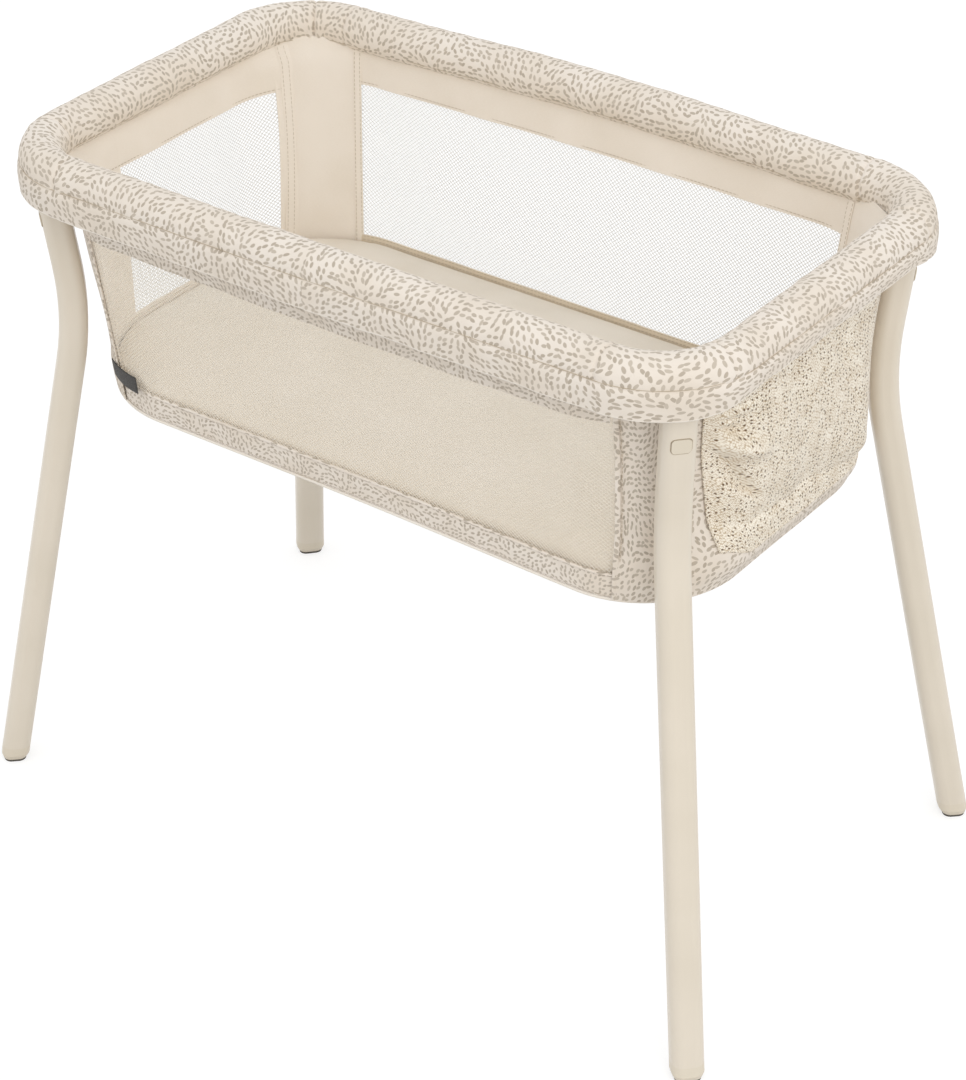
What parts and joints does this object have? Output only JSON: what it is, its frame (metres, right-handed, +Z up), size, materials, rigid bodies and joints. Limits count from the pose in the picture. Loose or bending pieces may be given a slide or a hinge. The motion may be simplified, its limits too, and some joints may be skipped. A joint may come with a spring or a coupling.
{
  "type": "portable bassinet",
  "caption": "Portable bassinet: padded oval rim on four splayed cream legs, with a mesh-sided fabric body, a thin mattress on a stiff floor and a knit pocket on its right end.",
  "frame": {"origin": "on the floor, under the middle of the rim", "axes": "+X to the right, along the length, towards the end with the pocket; +Y to the rear; +Z up"},
  "size_m": [0.9, 0.5372, 0.7315],
  "materials": {
    "cream_paint": "satin",
    "cream_plastic": "satin",
    "steel_tube": "satin",
    "white_plastic": "matte",
    "foam": "matte",
    "printed_cloth": "matte",
    "beige_cloth": "matte",
    "mesh_net": "matte",
    "knit": "matte",
    "mattress_cloth": "matte",
    "tag_cloth": "matte",
    "board": "matte",
    "rubber": "matte",
    "spring_steel": "polished"
  },
  "bodies": {
    "rim": {"rail_front": "steel_tube", "rail_back": "steel_tube", "rail_left": "steel_tube", "rail_right": "steel_tube", "corner_elbow_fl": "white_plastic", "corner_elbow_fr": "white_plastic", "corner_elbow_bl": "white_plastic", "corner_elbow_br": "white_plastic", "rail_rivets": "steel_tube", "rim_padding": "foam", "rim_cover": "printed_cloth", "mesh_front": "mesh_net", "mesh_back": "mesh_net", "mesh_left": "mesh_net", "end_panel": "printed_cloth", "corner_panel_fl": "beige_cloth", "corner_panel_fr": "beige_cloth", "corner_panel_bl": "beige_cloth", "corner_panel_br": "beige_cloth", "pocket": "knit", "blank_tag": "tag_cloth"},
    "floor": {"floor_cover": "printed_cloth", "floor_board": "board"},
    "mattress": {"mattress": "mattress_cloth"},
    "leg_fl": {"leg_fl": "cream_paint", "foot_cap_fl": "cream_plastic", "foot_pad_fl": "rubber", "button_spring_fl": "spring_steel"},
    "button_fl": {"release_button_fl": "cream_plastic"},
    "leg_fr": {"leg_fr": "cream_paint", "foot_cap_fr": "cream_plastic", "foot_pad_fr": "rubber", "button_spring_fr": "spring_steel"},
    "button_fr": {"release_button_fr": "cream_plastic"},
    "leg_bl": {"leg_bl": "cream_paint", "foot_cap_bl": "cream_plastic", "foot_pad_bl": "rubber", "button_spring_bl": "spring_steel"},
    "button_bl": {"release_button_bl": "cream_plastic"},
    "leg_br": {"leg_br": "cream_paint", "foot_cap_br": "cream_plastic", "foot_pad_br": "rubber", "button_spring_br": "spring_steel"},
    "button_br": {"release_button_br": "cream_plastic"}
  },
  "joints": [
    {"name": "floor_lift", "type": "slide", "parent": "rim", "child": "floor", "axis": [0, 0, 1], "range_m": [0, 0.14]},
    {"name": "mattress_lift", "type": "slide", "parent": "floor", "child": "mattress", "axis": [0, 0, 1], "range_m": [0, 0.3]},
    {"name": "leg_slide_fl", "type": "slide", "parent": "rim", "child": "leg_fl", "axis": [0.0896, 0.0826, -0.9925], "range_m": [0, 0.04]},
    {"name": "button_press_fl", "type": "slide", "parent": "leg_fl", "child": "button_fl", "axis": [0.7294, 0.6731, 0.1219], "range_m": [0, 0.0025], "stiffness_N_per_m": 400, "deforming": ["button_spring_fl"]},
    {"name": "leg_slide_fr", "type": "slide", "parent": "rim", "child": "leg_fr", "axis": [-0.0896, 0.0826, -0.9925], "range_m": [0, 0.04]},
    {"name": "button_press_fr", "type": "slide", "parent": "leg_fr", "child": "button_fr", "axis": [-0.7294, 0.6731, 0.1219], "range_m": [0, 0.0025], "stiffness_N_per_m": 400, "deforming": ["button_spring_fr"]},
    {"name": "leg_slide_bl", "type": "slide", "parent": "rim", "child": "leg_bl", "axis": [0.0896, -0.0826, -0.9925], "range_m": [0, 0.04]},
    {"name": "button_press_bl", "type": "slide", "parent": "leg_bl", "child": "button_bl", "axis": [0.7294, -0.6731, 0.1219], "range_m": [0, 0.0025], "stiffness_N_per_m": 400, "deforming": ["button_spring_bl"]},
    {"name": "leg_slide_br", "type": "slide", "parent": "rim", "child": "leg_br", "axis": [-0.0896, -0.0826, -0.9925], "range_m": [0, 0.04]},
    {"name": "button_press_br", "type": "slide", "parent": "leg_br", "child": "button_br", "axis": [-0.7294, -0.6731, 0.1219], "range_m": [0, 0.0025], "stiffness_N_per_m": 400, "deforming": ["button_spring_br"]}
  ]
}
